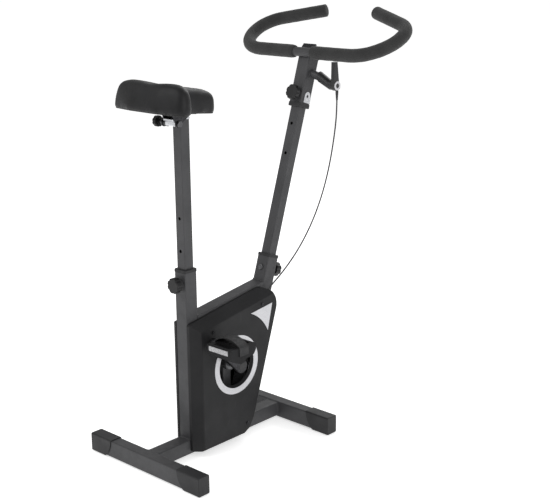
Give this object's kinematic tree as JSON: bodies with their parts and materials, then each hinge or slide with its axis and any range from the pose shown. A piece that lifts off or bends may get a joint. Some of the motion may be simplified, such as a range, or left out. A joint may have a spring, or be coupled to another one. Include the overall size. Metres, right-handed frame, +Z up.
{
  "type": "exercise bike",
  "caption": "Upright exercise bike: square-tube frame on two stabilisers, enclosed belt drive, strapped pedals, height-adjustable padded seat and bent handlebar with a tension lever.",
  "frame": {"origin": "on the floor, under the middle of the bike's length and width", "axes": "+X the way the rider faces, +Y to the rider's left, +Z up"},
  "size_m": [0.8448, 0.5498, 1.132],
  "materials": {
    "frame_paint": "satin powder coat, charcoal",
    "cover_plastic": "fine grain, near black",
    "cap_plastic": "smooth, black",
    "trim_silver": "silver film",
    "fixings": "zinc plated",
    "zinc_plate": "bright zinc plated sheet",
    "black_steel": "black paint",
    "axle_steel": "turned steel",
    "pulley_plastic": "moulded, black",
    "flywheel_iron": "machined rim",
    "belt_rubber": "ribbed belt",
    "brake_felt": "pressed felt",
    "pedal_plastic": "moulded, black",
    "strap_rubber": "soft strap",
    "reflector_strip": "pale reflector",
    "seat_vinyl": "black vinyl over foam",
    "seat_base": "moulded base",
    "grip_foam": "foam sleeve",
    "knob_plastic": "moulded, black",
    "lever_plastic": "moulded, black",
    "cable_casing": "plastic sheathed cable"
  },
  "bodies": {
    "frame": {"base_tube": "frame_paint", "stabilisers": "frame_paint", "end_caps": "cap_plastic", "rear_post": "frame_paint", "down_tube": "frame_paint", "top_tube": "frame_paint", "crank_post": "frame_paint", "bottom_bracket": "frame_paint", "flywheel_bracket": "frame_paint", "bearings": "axle_steel", "tube_collars": "cap_plastic", "front_post": "frame_paint", "clamp_bolt": "fixings", "cover_right": "cover_plastic", "cover_left": "cover_plastic", "cover_trims": "trim_silver", "cover_screws": "fixings", "brake_pivot": "fixings", "cable_stop": "frame_paint", "tension_cable": "cable_casing", "drive_belt": "belt_rubber"},
    "crank": {"crank_axle": "axle_steel", "crank_right": "black_steel", "crank_left": "black_steel", "crank_caps": "pulley_plastic", "pedal_axles": "axle_steel", "drive_pulley": "pulley_plastic"},
    "right_pedal": {"pedal_right": "pedal_plastic", "strap_right": "strap_rubber", "reflectors_right": "reflector_strip"},
    "left_pedal": {"pedal_left": "pedal_plastic", "strap_left": "strap_rubber", "reflectors_left": "reflector_strip"},
    "flywheel_set": {"flywheel": "flywheel_iron", "flywheel_axle": "axle_steel", "flywheel_pulley": "pulley_plastic"},
    "brake": {"brake_arm": "black_steel", "brake_pad": "brake_felt"},
    "seat_mast": {"seat_post": "frame_paint", "seat_post_guide": "cap_plastic", "seat_clamp": "zinc_plate"},
    "seat": {"seat_cushion": "seat_vinyl", "seat_pan": "seat_base", "seat_bracket": "black_steel"},
    "seat_clamp_knob": {"seat_knob": "knob_plastic", "seat_bolt": "fixings"},
    "seat_pull_knob": {"seat_height_knob": "knob_plastic"},
    "handlebar_stem": {"stem": "frame_paint", "stem_collar": "cap_plastic", "handlebar": "frame_paint", "grips": "grip_foam", "handlebar_bracket": "frame_paint", "bracket_bolts": "fixings", "stem_tab": "zinc_plate", "lever_mount": "frame_paint", "lever_housing": "lever_plastic"},
    "stem_pull_knob": {"stem_knob": "knob_plastic"},
    "front_clamp_knob": {"front_knob": "knob_plastic"},
    "lever": {"tension_lever": "lever_plastic", "lever_ring": "trim_silver"}
  },
  "joints": [
    {"name": "crank_spin", "type": "hinge", "parent": "frame", "child": "crank", "pos_m": [-0.126, 0, 0.225], "axis": [0, 1, 0], "continuous": true},
    {"name": "right_pedal_spin", "type": "hinge", "parent": "crank", "child": "right_pedal", "pos_m": [-0.21795, -0.12, 0.31505], "axis": [0, 1, 0], "continuous": true},
    {"name": "left_pedal_spin", "type": "hinge", "parent": "crank", "child": "left_pedal", "pos_m": [-0.03405, 0.12, 0.13495], "axis": [0, 1, 0], "continuous": true},
    {"name": "flywheel_spin", "type": "hinge", "parent": "frame", "child": "flywheel_set", "pos_m": [-0.161, 0, 0.098], "axis": [0, 1, 0], "continuous": true},
    {"name": "brake_swing", "type": "hinge", "parent": "frame", "child": "brake", "pos_m": [-0.052, -0.035, 0.152], "axis": [0, 1, 0], "range_deg": [0, 2.5]},
    {"name": "seat_height", "type": "slide", "parent": "frame", "child": "seat_mast", "axis": [0, 0, 1], "range_m": [-0.17, 0.085]},
    {"name": "seat_tilt", "type": "hinge", "parent": "seat_mast", "child": "seat", "pos_m": [-0.277, 0, 0.884], "axis": [0, 1, 0], "range_deg": [-8, 8]},
    {"name": "seat_clamp_turn", "type": "hinge", "parent": "seat_mast", "child": "seat_clamp_knob", "pos_m": [-0.277, 0, 0.884], "axis": [0, 1, 0], "continuous": true},
    {"name": "seat_pin_pull", "type": "slide", "parent": "frame", "child": "seat_pull_knob", "axis": [-1, 0, 0], "range_m": [0, 0.008], "stiffness_N_per_m": 400},
    {"name": "stem_height", "type": "slide", "parent": "frame", "child": "handlebar_stem", "axis": [0.309, 0, 0.9511], "range_m": [-0.082, 0], "deforming": ["tension_cable"]},
    {"name": "stem_pin_pull", "type": "slide", "parent": "handlebar_stem", "child": "stem_pull_knob", "axis": [-0.9511, 0, 0.309], "range_m": [0, 0.008], "stiffness_N_per_m": 400},
    {"name": "front_clamp_turn", "type": "hinge", "parent": "frame", "child": "front_clamp_knob", "pos_m": [0.04578, 0, 0.44649], "axis": [0.9511, 0, -0.309], "continuous": true},
    {"name": "tension_lever_turn", "type": "hinge", "parent": "handlebar_stem", "child": "lever", "pos_m": [0.2184, -0.1, 0.934], "axis": [0, -1, 0], "range_deg": [0, 60]}
  ],
  "couplings": [
    {"joint": "flywheel_spin", "follows": "crank_spin", "ratio": 4.2022},
    {"joint": "brake_swing", "follows": "tension_lever_turn", "ratio": 0.041667}
  ]
}
